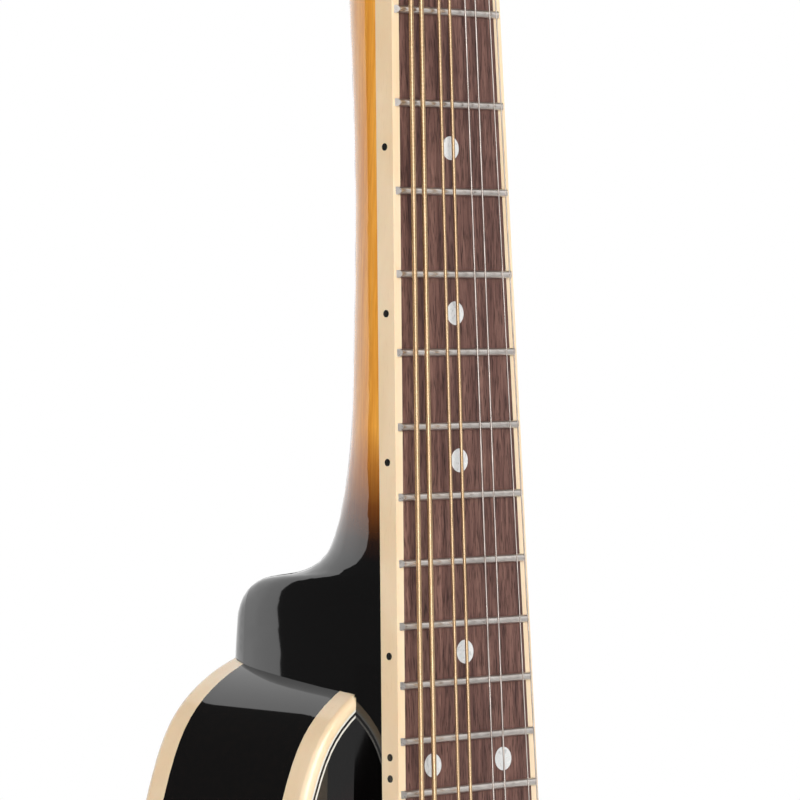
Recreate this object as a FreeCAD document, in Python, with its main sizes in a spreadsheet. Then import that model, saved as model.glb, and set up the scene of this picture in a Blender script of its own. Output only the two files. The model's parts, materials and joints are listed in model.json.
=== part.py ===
"""A carved, arch-topped mandolin with four double courses of strings.

Frame of the part: +Z runs up the instrument from tail to headstock, the
soundboard faces -Y, and +X is the treble side.  The origin is the middle of
the strap button's head.  The body's ribs are centred on Y = 0.  Pieces of
the neck are drawn in the neck's own frame, where Y = 0 is the top of the
fretboard and Z = 0 is the nut; pieces of the headstock, tuners and tailpiece
are drawn in frames of their own too, and each gets a Placement.
Lengths are in millimetres.
"""
import FreeCAD, Part
import math
import os
import Sketcher
from FreeCAD import Placement, Rotation, Vector

DIMENSIONS = (
    # alias, value, what it is
    ("scale_length", 350.0, "nut to twice the octave fret"),
    ("saddle_setback", 2.5, "compensation added at the saddle"),
    ("neck_tilt", 3.6, "degrees the neck leans back"),
    ("nut_z", 505.0, "height of the nut above the origin"),
    ("board_y", -24.9, "top of the fretboard at the nut"),
    ("rib_height", 34.0, "ribs between the two plates"),
    ("plate_edge", 6.0, "edge thickness of the plates"),
    ("rib_thickness", 2.4, "bent side wood"),
    ("top_arch", 13.0, "rise of the soundboard"),
    ("back_arch", 11.0, "rise of the back"),
    ("arch_thinning", 1.5, "how much thinner the plates are inside"),
    ("binding_width", 2.0, "body binding seen from the front"),
    ("binding_round", 1.5, "rounded outer edge of the binding"),
    ("white_line", 0.4, "each white purfling line"),
    ("black_line", 0.55, "black purfling line"),
    ("board_half_nut", 12.94, "fretboard wood half width at the nut"),
    ("board_flare", 0.0284, "half width gained per mm"),
    ("board_binding", 2.0, "binding beside the fretboard"),
    ("board_thickness", 4.6, "fretboard thickness"),
    ("board_length", 244.0, "fretboard length"),
    ("fret_width", 1.5, "fret crown width"),
    ("fret_height", 1.0, "fret crown height"),
    ("tang_width", 0.6, "fret tang width"),
    ("tang_depth", 2.0, "fret tang depth"),
    ("dot_radius", 2.38, "front position dot"),
    ("side_dot_radius", 0.75, "side position dot"),
    ("nut_width_z", 4.5, "nut thickness along the neck"),
    ("nut_rise", 2.1, "nut above the fretboard"),
    ("string_rise", 1.3, "underside of the strings above the board at the nut"),
    ("string_climb", 0.00857, "rise of the strings per mm"),
    ("head_tilt", 14.0, "degrees the headstock leans back from the neck"),
    ("head_drop", 1.2, "headstock face below the fretboard top"),
    ("head_thickness", 15.0, "headstock with its overlay"),
    ("overlay_thickness", 1.5, "headstock overlay"),
    ("post_line_x", 21.0, "post line from the centre"),
    ("post_pitch", 23.0, "distance between posts"),
    ("first_post", 38.0, "first post above the nut"),
    ("post_radius", 3.0, "string post"),
    ("post_rise", 10.5, "post above the headstock"),
    ("running_gap", 0.05, "radial clearance of turning pieces"),
    ("gear_radius", 5.8, "tip radius of the post gear"),
    ("gear_root", 4.7, "root radius of the post gear"),
    ("gear_thickness", 3.0, "post gear"),
    ("gear_teeth", 15.0, "teeth of the post gear"),
    ("worm_offset", 8.3, "worm axis to post axis"),
    ("worm_radius", 2.2, "worm core"),
    ("key_shaft_radius", 1.6, "tuner key shaft"),
    ("plate_thickness", 1.0, "tuner plate"),
    ("bridge_post_x", 29.0, "bridge post from the centre"),
    ("bridge_post_radius", 2.0, "threaded bridge post"),
    ("thumbwheel_radius", 6.5, "thumbwheel"),
    ("thumbwheel_height", 2.4, "thumbwheel"),
    ("strap_head_radius", 7.0, "strap button head"),
    ("strap_head_length", 3.0, "cylindrical wall of the head"),
    ("tail_z", 14.5, "ribs' end at the tail"),
    ("tail_slope", 9.0, "degrees the tailpiece rises"),
    ("truss_rod_radius", 2.5, "truss rod"),
    ("truss_rod_depth", 10.5, "truss rod axis below the fretboard top"),
    ("truss_nut_flats", 7.0, "across the flats"),
)

doc = FreeCAD.newDocument("mandolin")
sheet = doc.addObject("Spreadsheet::Sheet", "Dimensions")
for row, (alias, value, meaning) in enumerate(DIMENSIONS, start=1):
    sheet.set(f"A{row}", meaning)
    sheet.set(f"B{row}", str(value))
    sheet.setAlias(f"B{row}", alias)
doc.recompute()

SUBPARTS = []
X_AXIS, Y_AXIS, Z_AXIS = Vector(1, 0, 0), Vector(0, 1, 0), Vector(0, 0, 1)


def dim(alias):
    """A driving dimension, read back from the sheet."""
    return float(sheet.get(alias))


def subpart(obj):
    """Remember a finished object as one sub-part of the instrument."""
    SUBPARTS.append(obj)
    return obj


def feature(label, shape, placement=Placement()):
    """A sub-part whose shape is worked out by code."""
    obj = doc.addObject("Part::Feature", label)
    obj.Label = label
    obj.Shape = shape
    obj.Placement = placement
    return subpart(obj)


def primitive(kind, name, placement=Placement(), **bindings):
    """A Part primitive with its properties bound to expressions."""
    obj = doc.addObject(kind, name)
    for prop, expression in bindings.items():
        obj.setExpression(prop, expression)
    obj.Placement = placement
    return obj


def new_body(label):
    """An empty PartDesign body."""
    body = doc.addObject("PartDesign::Body", label)
    body.Label = label
    return body


def new_sketch(body, role, name):
    """A sketch on one of the body's own origin planes."""
    plane = next(f for f in body.Origin.OriginFeatures if f.Role == role)
    sketch = body.newObject("Sketcher::SketchObject", name)
    sketch.AttachmentSupport = (plane, [""])
    sketch.MapMode = "FlatFace"
    return sketch


def draw_polygon(sketch, points):
    """Closed polygon in a sketch."""
    corners = [Vector(u, v, 0) for u, v in points]
    for start, end in zip(corners, corners[1:] + corners[:1]):
        sketch.addGeometry(Part.LineSegment(start, end), False)


def draw_circle(sketch, expression, u=0.0, v=0.0):
    """Circle in a sketch, its radius bound to an expression."""
    index = sketch.addGeometry(Part.Circle(Vector(u, v, 0), Z_AXIS, 1.0), False)
    place = sketch.addConstraint(Sketcher.Constraint("Radius", index, 1.0))
    sketch.setExpression(f"Constraints[{place}]", expression)


def box(x0, x1, y0, y1, z0, z1):
    """Box between two corners."""
    return Part.makeBox(x1 - x0, y1 - y0, z1 - z0, Vector(x0, y0, z0))


def rod(start, end, radius):
    """Cylinder from one point to another."""
    return Part.makeCylinder(radius, (end - start).Length, start, end - start)


def polygon_face(points):
    """Planar face through 3-D points."""
    return Part.Face(Part.makePolygon(list(points) + [points[0]]))


def mirrored_x(shape):
    """Copy of a shape on the other side of the centre plane."""
    return shape.mirror(Vector(0, 0, 0), X_AXIS)


def fused(shapes):
    """One shape out of several that touch."""
    return shapes[0].fuse(shapes[1:]).removeSplitter() if len(shapes) > 1 else shapes[0]


def group(shapes):
    """Separate solids kept in one sub-part."""
    return Part.makeCompound([solid for shape in shapes for solid in shape.Solids])


def placed(shape, placement):
    """Copy of a shape moved from its own frame into the part's frame."""
    moved = shape.copy()
    moved.Placement = placement.multiply(moved.Placement)
    return moved


# ---------------------------------------------------------------- frames

NECK = Placement(Vector(0, dim("board_y"), dim("nut_z")), Rotation(X_AXIS, -dim("neck_tilt")))
HEAD = NECK.multiply(Placement(Vector(0, dim("head_drop"), dim("nut_width_z")),
                               Rotation(X_AXIS, -dim("head_tilt"))))
TAIL = Placement(Vector(0, -26.5, dim("tail_z") - 0.2), Rotation(X_AXIS, dim("tail_slope")))

half_ribs = dim("rib_height") / 2
edge_y = half_ribs + dim("plate_edge")
scale = dim("scale_length")

# ---------------------------------------------------------------- body outline

# Right half of the outline from the middle of the tail, past the wide lower
# bout and the narrow sweep of the shoulders, to the neck joint: (x, z).
OUTLINE = ((0, 14.5), (48, 20.5), (92, 44), (120, 88), (127, 142), (114, 198), (86, 246),
           (56, 284), (39, 312), (33.4, 329), (27.7, 341.2), (16, 350.5), (0, 354.5))
OUTLINE_SAMPLES = 120


def closed_curve(points):
    """Smooth closed curve through points."""
    curve = Part.BSplineCurve()
    curve.interpolate(Points=points, PeriodicFlag=True)
    return curve


left_half = [(-x, z) for x, z in reversed(OUTLINE[1:-1])]
outline_curve = closed_curve([Vector(x, 0, z) for x, z in list(OUTLINE) + left_half])


def outline_points(inset):
    """Points of the outline, moved inwards by the inset."""
    first, last = outline_curve.FirstParameter, outline_curve.LastParameter
    points = []
    for k in range(OUTLINE_SAMPLES):
        parameter = first + (last - first) * k / OUTLINE_SAMPLES
        tangent = outline_curve.tangent(parameter)[0]
        inward = Vector(-tangent.z, 0, tangent.x)
        points.append(outline_curve.value(parameter) + inward * inset)
    return points


def outline_prism(inset, y_low, y_high):
    """Solid of the outline between two heights, its wall in a right and a left half."""
    curve = outline_curve if inset == 0 else closed_curve(outline_points(inset))
    first, last = curve.FirstParameter, curve.LastParameter
    crown = curve.parameter(Vector(0, 0, OUTLINE[-1][1] - inset))
    halves = [curve.toShape(first, crown), curve.toShape(crown, last)]
    face = Part.Face(Part.Wire(halves))
    face.translate(Vector(0, y_low, 0))
    return face.extrude(Vector(0, y_high - y_low, 0))


def outline_ring(inset, width, y_low, y_high):
    """Band that follows the outline."""
    return outline_prism(inset, y_low, y_high).cut(outline_prism(inset + width, y_low, y_high))


# ---------------------------------------------------------------- arching

GRID_STEP = 7.5
GRID_X = [-135 + GRID_STEP * i for i in range(37)]
GRID_Z = [-0.5 + GRID_STEP * j for j in range(50)]


def inside(x, z, polygon):
    """True where a point lies in the outline."""
    hit = False
    for p, q in zip(polygon, polygon[1:] + polygon[:1]):
        if (p.z > z) != (q.z > z) and x < p.x + (z - p.z) / (q.z - p.z) * (q.x - p.x):
            hit = not hit
    return hit


def carve_profile():
    """Share of the full arch at each grid point.

    A thin membrane fixed along the outline and blown up gives the swell of
    a carved plate; easing it in and out leaves a flat rim around the edge.
    """
    polygon = outline_points(2.0)
    live = [(i, j) for i in range(1, 36) for j in range(1, 49) if inside(GRID_X[i], GRID_Z[j], polygon)]
    swell = [[0.0] * len(GRID_Z) for _ in GRID_X]
    over_relaxation = 1.85
    for _ in range(220):
        for i, j in live:
            around = swell[i - 1][j] + swell[i + 1][j] + swell[i][j - 1] + swell[i][j + 1]
            swell[i][j] += over_relaxation * ((around + 1.0) / 4 - swell[i][j])
    peak = max(max(line) for line in swell)
    return [[(value / peak) ** 2 * (3 - 2 * value / peak) for value in line] for line in swell]


PROFILE = carve_profile()


def arch_space(edge, rise, side):
    """Everything on the inner side of an arched surface.

    side is -1 for the soundboard and +1 for the back.
    """
    surface = Part.BSplineSurface()
    surface.interpolate([[Vector(x, side * (edge + rise * PROFILE[i][j]), z)
                          for j, z in enumerate(GRID_Z)] for i, x in enumerate(GRID_X)])
    return surface.toShape().extrude(Vector(0, -side * 60, 0))


thinning = dim("arch_thinning")
TOP_OUTER = arch_space(edge_y, dim("top_arch"), -1)
TOP_INNER = arch_space(half_ribs + 0.02, dim("top_arch") + thinning, -1)
BACK_OUTER = arch_space(edge_y, dim("back_arch"), 1)
BACK_INNER = arch_space(half_ribs + 0.02, dim("back_arch") + thinning, 1)
ENVELOPE = outline_prism(0, -50, 50).common(TOP_OUTER).common(BACK_OUTER)

inset_white = dim("binding_width")
inset_black = inset_white + dim("white_line")
inset_inner_white = inset_black + dim("black_line")
inset_plate = inset_inner_white + dim("white_line")

# ---------------------------------------------------------------- neck wood

# Down the neck and round the heel: distance below the nut, depth of wood
# behind the fretboard, and how far the round back has become a square heel.
NECK_STATIONS = ((-4.5, 14.5, 0.0), (12, 16.9, 0.0), (28, 16.35, 0.0), (44, 15.75, 0.0), (60, 15.8, 0.0),
                 (76, 16.5, 0.0), (92, 17.6, 0.0), (104, 18.7, 0.03), (112, 20.0, 0.24),
                 (118, 21.1, 0.5), (123, 22.4, 0.72), (127, 24.4, 0.86), (129.6, 27.8, 0.94),
                 (131, 32.0, 0.97), (131.7, 37.0, 0.98), (132.2, 41.8, 0.99), (133.2, 46.0, 1.0),
                 (135, 49.3, 1.0), (138, 51.9, 1.0), (143, 53.3, 1.0), (152, 53.9, 1.0), (166, 54.2, 1.0))
HEEL_HALF_WIDTH = 15.3
HEEL_WEIGHT = 10.0
SECTION_POINTS = 31
SPINE_POINTS = 56


def board_half(distance):
    """Half width of the bound fretboard at a distance below the nut."""
    return dim("board_half_nut") + dim("board_binding") + dim("board_flare") * distance


def neck_section(distance, depth, heel):
    """Evenly spaced points round the back of one cross-section of the neck."""
    top = dim("board_thickness")
    half = board_half(distance)
    far_half = half + (HEEL_HALF_WIDTH - half) * heel
    power = 1 - 0.7 * heel
    points = []
    for k in range(SECTION_POINTS):
        angle = math.pi * k / (SECTION_POINTS - 1)
        across = abs(math.cos(angle)) ** power * math.copysign(1, math.cos(angle))
        width = half + (far_half - half) * math.sin(angle)
        points.append(Vector(width * across, top + depth * math.sin(angle), -distance))
    back = Part.BSplineCurve()
    back.interpolate(points)
    return back.discretize(Number=SECTION_POINTS)


def neck_shaft():
    """Solid of the shaft and heel, a smooth skin closed by flat faces."""
    spine = Part.BSplineCurve()
    spine.interpolate([Vector(*station[:2], station[2] * HEEL_WEIGHT) for station in NECK_STATIONS])
    rows = [neck_section(p.x, p.y, min(max(p.z / HEEL_WEIGHT, 0), 1)) for p in spine.discretize(Number=SPINE_POINTS)]
    skin = Part.BSplineSurface()
    skin.interpolate(rows)
    skin_face = skin.toShape()
    lines = [Part.LineSegment(row[-1], row[0]).toShape() for row in (rows[0], rows[-1])]
    u_low, u_high, v_low, v_high = skin.bounds()
    ends = [skin.uIso(u).toShape() for u in (u_low, u_high)]
    sides = [skin.vIso(v).toShape() for v in (v_low, v_high)]
    wires = [(ends[0], lines[0]), (ends[1], lines[1]), (sides[0], lines[0], sides[1], lines[1])]
    faces = [skin_face] + [Part.Face(Part.Wire(Part.__sortEdges__(list(edges)))) for edges in wires]
    shell = Part.makeShell(faces)
    shell.sewShape()
    solid = Part.makeSolid(shell)
    return solid.reversed() if solid.Volume < 0 else solid


def head_outline(y_low, y_high, inset=0.0, start=0.6):
    """Prism of the headstock's outline, in the headstock's frame."""
    half = ((16.5, start), (18.5, 12), (25, 24), (30.5, 38), (32, 70), (32.5, 108), (29, 126), (17, 137))
    crown = 142.0
    right = [Vector(x - inset, y_low, z) for x, z in half]
    left = [Vector(-p.x, y_low, p.z) for p in reversed(right)]
    side = Part.BSplineCurve()
    side.interpolate(right + [Vector(0, y_low, crown - inset)] + left)
    face = Part.Face(Part.Wire([side.toShape(), Part.LineSegment(left[-1], right[0]).toShape()]))
    return face.extrude(Vector(0, y_high - y_low, 0))


def post_places():
    """(name, x, z, side) of the eight posts, in the headstock's frame."""
    for side, word in ((-1, "bass"), (1, "treble")):
        for k in range(4):
            z = dim("first_post") + k * dim("post_pitch")
            yield f"{word}_{k + 1}", side * dim("post_line_x"), z, side


def screw(x, y, z, direction, head_radius, length, shank_radius=0.9):
    """Dome-headed screw: the head stands out against the direction it goes in."""
    at = Vector(x, y, z)
    head = Part.makeCylinder(head_radius, 0.5, at - direction * 0.5, direction)
    dome = Part.makeCone(head_radius * 0.6, head_radius, 0.4, at - direction * 0.9, direction)
    return fused([head, dome, Part.makeCylinder(shank_radius, length, at, direction)])


PLATE_X = (13.5, 28.6)
PLATE_Z = (dim("first_post") - 12, dim("first_post") + 3 * dim("post_pitch") + 16)
back_y = dim("head_thickness")
plate_back = back_y + dim("plate_thickness")
plate_screw_points = [(side * x, z) for side in (-1, 1)
                      for x, z in ((16.2, PLATE_Z[0] + 2.6), (25.9, PLATE_Z[0] + 2.6),
                                   (16.2, PLATE_Z[1] - 2.6), (25.9, PLATE_Z[1] - 2.6))]
PLATE_SCREWS = group([screw(x, plate_back, z, Vector(0, -1, 0), 1.7, 8.0) for x, z in plate_screw_points])
# The cover is thin and its screws are let into it, so that the strings pass clear over both.
COVER_THICKNESS, COVER_SCREW_DEPTH = 1.2, 0.7
cover_screw_y = COVER_SCREW_DEPTH - COVER_THICKNESS
COVER_SCREWS = group([screw(x, cover_screw_y, z, Y_AXIS, 1.7, 8.0) for x, z in ((0, 32.5), (-6.6, 5.0), (6.6, 5.0))])

# Tenon that carries the neck into the body's block, wider inside than out.
TENON = polygon_face([Vector(x, -half_ribs, z) for x, z in
                      ((-12.5, 334), (12.5, 334), (10, 354), (10, 356), (-10, 356), (-10, 354))]
                     ).extrude(Vector(0, 2 * half_ribs, 0))


def make_neck():
    """Neck shaft, heel, fretboard support and headstock in one piece of wood."""
    shaft = neck_shaft()
    top, start, end = dim("board_thickness"), 149.5, 236.0
    support = polygon_face([Vector(-board_half(start), top, -start), Vector(board_half(start), top, -start),
                            Vector(board_half(end), top, -end), Vector(-board_half(end), top, -end)]
                           ).extrude(Vector(0, 34, 0))
    support = placed(support, NECK).cut(box(-60, 60, -edge_y + 0.5, 60, 340, 380))
    head = placed(head_outline(dim("overlay_thickness"), back_y), HEAD)
    body = fused([placed(shaft, NECK), head]).cut(ENVELOPE)
    heel_cap = placed(shaft, NECK).common(box(-40, 40, half_ribs, 40, 300, 400))
    body = fused([body, support.cut(ENVELOPE), TENON]).cut(heel_cap)
    channel = box(-2.7, 2.7, 0, dim("truss_rod_depth") + 2.7, -142, 6)
    pocket = box(-5.5, 5.5, -8, dim("truss_rod_depth") + 5, 5, 24)
    nut_seat = box(-20, 20, -6, dim("board_thickness"), 0, dim("nut_width_z"))
    body = body.cut(placed(fused([channel, pocket]), NECK)).cut(placed(nut_seat, NECK))
    holes = [Part.makeCylinder(4.3, 30, Vector(x, -5, z), Y_AXIS) for _, x, z, _ in post_places()]
    body = body.cut(placed(group(holes + [PLATE_SCREWS, COVER_SCREWS]), HEAD))
    return body, heel_cap


neck_shape, heel_cap_shape = make_neck()
feature("neck", neck_shape)

# ---------------------------------------------------------------- body pieces

button_hole = Part.makeCylinder(3.55, 40, Vector(0, 0, 0), Z_AXIS)
tail_screw_places = [(-10, -9), (10, -9), (0, 9.8)]
TAIL_SCREWS = group([screw(x, y, dim("tail_z") - 1.4, Z_AXIS, 2.2, 12.0, 1.2) for x, y in tail_screw_places])


def make_ribs():
    """The two bent sides, which meet at the tail and at the neck."""
    ring = outline_ring(0, dim("rib_thickness"), -half_ribs, half_ribs)
    ring = ring.cut(TENON).cut(button_hole).cut(TAIL_SCREWS)
    bass = ring.common(box(-200, 0, -60, 60, 0, 400))
    return bass, ring.common(box(0, 200, -60, 60, 0, 400))


def blocks_and_linings():
    """Neck block, tail block and the two linings inside the ribs."""
    inner = outline_prism(dim("rib_thickness"), -half_ribs, half_ribs)
    head_zone = box(-32, 32, -60, 60, 318, 400)
    tail_zone = box(-30, 30, -60, 60, 0, 36)
    neck_block = inner.common(head_zone).cut(TENON)
    tail_block = inner.common(tail_zone).cut(button_hole).cut(TAIL_SCREWS)
    strips = [outline_ring(dim("rib_thickness"), 5.5, -half_ribs, -half_ribs + 6),
              outline_ring(dim("rib_thickness"), 5.5, half_ribs - 6, half_ribs)]
    return neck_block, tail_block, group([strip.cut(head_zone).cut(tail_zone) for strip in strips])


def sound_hole():
    """Treble f-shaped sound hole as a cutting tool."""
    upper, lower = Vector(52.5, 0, 196), Vector(67.5, 0, 113)
    spine = [(upper.x - 4.0, upper.z + 1.5), (50.5, 205), (57.5, 207), (61.6, 196), (60.2, 178), (58.8, 155),
             (58.4, 132), (59.8, 114), (64.4, 104), (71, 106), (71.3, 113.5)]
    widths = (1.0, 1.8, 2.6, 4.6, 5.6, 6.0, 5.6, 4.6, 2.6, 1.8, 1.0)
    left, right = [], []
    for k, (x, z) in enumerate(spine):
        before, after = spine[max(k - 1, 0)], spine[min(k + 1, len(spine) - 1)]
        along = Vector(after[0] - before[0], 0, after[1] - before[1]).normalize()
        across = Vector(-along.z, 0, along.x) * (widths[k] / 2)
        left.append(Vector(x, -60, z) + across)
        right.append(Vector(x, -60, z) - across)
    sides = []
    for points in (left, right[::-1]):
        curve = Part.BSplineCurve()
        curve.interpolate(points)
        sides.append(curve.toShape())
    caps = [Part.LineSegment(left[-1], right[-1]).toShape(), Part.LineSegment(right[0], left[0]).toShape()]
    stem = Part.Face(Part.Wire([sides[0], caps[0], sides[1], caps[1]])).extrude(Vector(0, 60, 0))
    eyes = [Part.makeCylinder(r, 60, Vector(p.x, -60, p.z), Y_AXIS) for p, r in ((upper, 4.2), (lower, 5.0))]
    return fused([stem] + eyes)


def make_plates():
    """Carved soundboard and back; the back carries the heel's cap."""
    hole = sound_hole()
    top = outline_prism(inset_plate, -50, 0).common(TOP_OUTER).cut(TOP_INNER)
    top = top.cut(hole).cut(mirrored_x(hole))
    back = outline_prism(inset_white, 0, 50).common(BACK_OUTER).cut(BACK_INNER)
    return top, fused([back, heel_cap_shape])


def rounded_binding(side):
    """Binding with its outer corner rounded over."""
    low, high = sorted((side * half_ribs, side * edge_y))
    ring = outline_ring(0, dim("binding_width"), low, high)
    rims = sorted((e for e in ring.Edges if abs(e.CenterOfMass.y - side * edge_y) < 1e-3), key=lambda e: e.Length)
    return ring.makeFillet(dim("binding_round"), rims[-2:])


def tone_bars():
    """Two bars under the soundboard, splayed towards the tail."""
    bar = polygon_face([Vector(14, -half_ribs - 12, 96), Vector(20, -half_ribs - 12, 96),
                        Vector(15, -half_ribs - 12, 290), Vector(9, -half_ribs - 12, 290)])
    bar = bar.extrude(Vector(0, 9, 0)).common(TOP_INNER)
    return group([bar, mirrored_x(bar)])


rib_bass_shape, rib_treble_shape = make_ribs()
feature("rib_bass", rib_bass_shape)
feature("rib_treble", rib_treble_shape)
for label, shape in zip(("neck_block", "tail_block", "linings"), blocks_and_linings()):
    feature(label, shape)
for label, shape in zip(("top_plate", "back_plate"), make_plates()):
    feature(label, shape)
feature("tone_bars", tone_bars())
feature("top_binding", rounded_binding(-1))
feature("back_binding", rounded_binding(1).cut(heel_cap_shape))
feature("top_purfling_white", group([outline_ring(inset_white, dim("white_line"), -edge_y, -half_ribs),
                                     outline_ring(inset_inner_white, dim("white_line"), -edge_y, -half_ribs)]))
feature("top_purfling_black", outline_ring(inset_black, dim("black_line"), -edge_y, -half_ribs))

# ---------------------------------------------------------------- fretboard

FRETS = 20
DOT_FRETS = (3, 5, 7, 10, 12, 15, 17)


def fret_distance(number):
    """Distance of a fret below the nut, in equal temperament."""
    return scale * (1 - 2 ** (-number / 12))


def dot_places():
    """(x, distance) of the front dots: one between frets, two at the octave."""
    for number in DOT_FRETS:
        distance = (fret_distance(number - 1) + fret_distance(number)) / 2
        for x in ((-10.06, 10.06) if number == 12 else (0,)):
            yield x, distance


def side_dot_distances():
    """Distances of the side dots: two close together at the octave."""
    for number in DOT_FRETS:
        middle = (fret_distance(number - 1) + fret_distance(number)) / 2
        for shift in ((-2.1, 2.1) if number == 12 else (0,)):
            yield middle + shift


def board_wood_half(distance):
    """Half width of the fretboard's wood."""
    return board_half(distance) - dim("board_binding")


def slot_size(number):
    """Distance, half length and half width of one fret slot."""
    at = fret_distance(number)
    return at, board_wood_half(at) - 0.2, dim("tang_width") / 2


def tang(number):
    """Tang of one fret, which stands in its slot."""
    at, half, thick = slot_size(number)
    return box(-half, half, 0, dim("tang_depth"), -at - thick, -at + thick)


def crown(number):
    """Half-round bead of one fret with bevelled ends."""
    at, rise = fret_distance(number), dim("fret_height")
    half, thick = board_half(at) - 0.7, dim("fret_width") / 2
    arc = Part.Arc(Vector(-half, 0, -at - thick), Vector(-half, -rise, -at), Vector(-half, 0, -at + thick))
    base = Part.LineSegment(Vector(-half, 0, -at + thick), Vector(-half, 0, -at - thick))
    bead = Part.Face(Part.Wire([arc.toShape(), base.toShape()])).extrude(Vector(2 * half, 0, 0))
    bevel = 0.65
    bounds = polygon_face([Vector(-half, 0, -at - 2), Vector(half, 0, -at - 2),
                           Vector(half - bevel, -rise, -at - 2), Vector(-half + bevel, -rise, -at - 2)])
    return bead.common(bounds.extrude(Vector(0, 0, 4)))


def make_fretboard():
    """Tapered board with fret slots and dot recesses, drawn as a PartDesign body."""
    body = new_body("fretboard")
    sketch = new_sketch(body, "XZ_Plane", "board_outline")
    length = dim("board_length")
    draw_polygon(sketch, [(-board_wood_half(0), 0), (board_wood_half(0), 0),
                          (board_wood_half(length), -length), (-board_wood_half(length), -length)])
    pad = body.newObject("PartDesign::Pad", "board_pad")
    pad.Profile = sketch
    pad.setExpression("Length", "Dimensions.board_thickness")
    pad.Reversed = True
    doc.recompute()
    slots = new_sketch(body, "XZ_Plane", "fret_slots")
    for number in range(1, FRETS + 1):
        at, half, thick = slot_size(number)
        draw_polygon(slots, [(-half, -at - thick), (half, -at - thick), (half, -at + thick), (-half, -at + thick)])
    slotting = body.newObject("PartDesign::Pocket", "slot_pocket")
    slotting.Profile = slots
    slotting.setExpression("Length", "Dimensions.tang_depth")
    recesses = new_sketch(body, "XZ_Plane", "dot_recesses")
    for x, distance in dot_places():
        draw_circle(recesses, "Dimensions.dot_radius", x, -distance)
    pocket = body.newObject("PartDesign::Pocket", "dot_pocket")
    pocket.Profile = recesses
    pocket.Length = 1.2
    doc.recompute()
    solid_volume = pad.Shape.Volume
    for cut in (slotting, pocket):
        if cut.Shape.Volume > solid_volume - 1:
            cut.Reversed = not cut.Reversed
            doc.recompute()
        if cut.Shape.Volume > solid_volume - 1:
            raise RuntimeError(f"{cut.Name} removed nothing")
        solid_volume = cut.Shape.Volume
    body.Placement = NECK
    return body


subpart(make_fretboard())


def make_board_binding():
    """Cream strips along both sides and the end of the fretboard."""
    length, end = dim("board_length"), dim("board_length") + dim("board_binding")
    outer = polygon_face([Vector(-board_half(0), 0, 0), Vector(board_half(0), 0, 0),
                          Vector(board_half(end), 0, -end), Vector(-board_half(end), 0, -end)])
    wood = polygon_face([Vector(-board_wood_half(0), 0, 0), Vector(board_wood_half(0), 0, 0),
                         Vector(board_wood_half(length), 0, -length), Vector(-board_wood_half(length), 0, -length)])
    depth = Vector(0, dim("board_thickness"), 0)
    return outer.extrude(depth).cut(wood.extrude(depth)).cut(SIDE_DOTS)


def make_side_dots():
    """Black dots set into the bass side of the binding."""
    dots = []
    for distance in side_dot_distances():
        edge = -board_half(distance)
        middle = dim("board_thickness") / 2
        dots.append(Part.makeCylinder(dim("side_dot_radius"), 1.0, Vector(edge - 0.02, middle, -distance), X_AXIS))
    return group(dots)


SIDE_DOTS = make_side_dots()
feature("fretboard_binding", make_board_binding(), NECK)
feature("side_dots", SIDE_DOTS, NECK)
feature("position_dots", group([Part.makeCylinder(dim("dot_radius"), 1.2, Vector(x, 0, -distance), Y_AXIS)
                                for x, distance in dot_places()]), NECK)
feature("frets", group([tang(n).fuse(crown(n)) for n in range(1, FRETS + 1)]), NECK)

# ---------------------------------------------------------------- strings

# Name, course centre and half gap at the nut, the same at the saddle, radius,
# and the post that takes the string.
COURSES = (("g", -10.0, 1.4, -20.0, 2.15, 0.50), ("d", -2.2, 1.5, -6.9, 1.95, 0.33),
           ("a", 5.1, 1.45, 5.95, 1.9, 0.19), ("e", 11.3, 0.95, 19.3, 1.45, 0.14))
POST_OF_STRING = {"g1": "bass_1", "g2": "bass_2", "d1": "bass_3", "d2": "bass_4",
                  "a1": "treble_4", "a2": "treble_3", "e1": "treble_2", "e2": "treble_1"}
WRAP_GAP = 0.12
WRAP_LEVEL = 6.0
HOOK_PITCH = 4.4
HOOK_Z, HOOK_LEVEL, HOOK_RADIUS = 14.0, 2.9, 1.0
SADDLE_DISTANCE = scale + dim("saddle_setback")
POSTS = {name: (x, z, side) for name, x, z, side in post_places()}


def string_rows():
    """One dictionary for each string, with the points it passes."""
    rows = []
    for course, nut_x, nut_gap, saddle_x, saddle_gap, radius in COURSES:
        for k, sign in enumerate((-1, 1)):
            name = f"{course}{k + 1}"
            rise = dim("string_rise") + radius
            nut_point = NECK.multVec(Vector(nut_x + sign * nut_gap, -rise, 0))
            saddle_point = NECK.multVec(Vector(saddle_x + sign * saddle_gap,
                                               -rise - dim("string_climb") * SADDLE_DISTANCE, -SADDLE_DISTANCE))
            post_x, post_z, side = POSTS[POST_OF_STRING[name]]
            wrap = dim("post_radius") + WRAP_GAP + radius
            wrap_point = HEAD.multVec(Vector(post_x - side * wrap, -WRAP_LEVEL, post_z - 0.6))
            hook_x = (len(rows) - 3.5) * HOOK_PITCH
            hook_point = TAIL.multVec(Vector(hook_x, -HOOK_LEVEL, HOOK_Z + HOOK_RADIUS + radius + 0.3))
            rows.append({"name": name, "radius": radius, "nut": nut_point, "saddle": saddle_point,
                         "wrap": wrap_point, "hook": hook_point, "hook_x": hook_x,
                         "post": (post_x, post_z), "turns": 3})
    return rows


STRINGS = string_rows()


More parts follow.
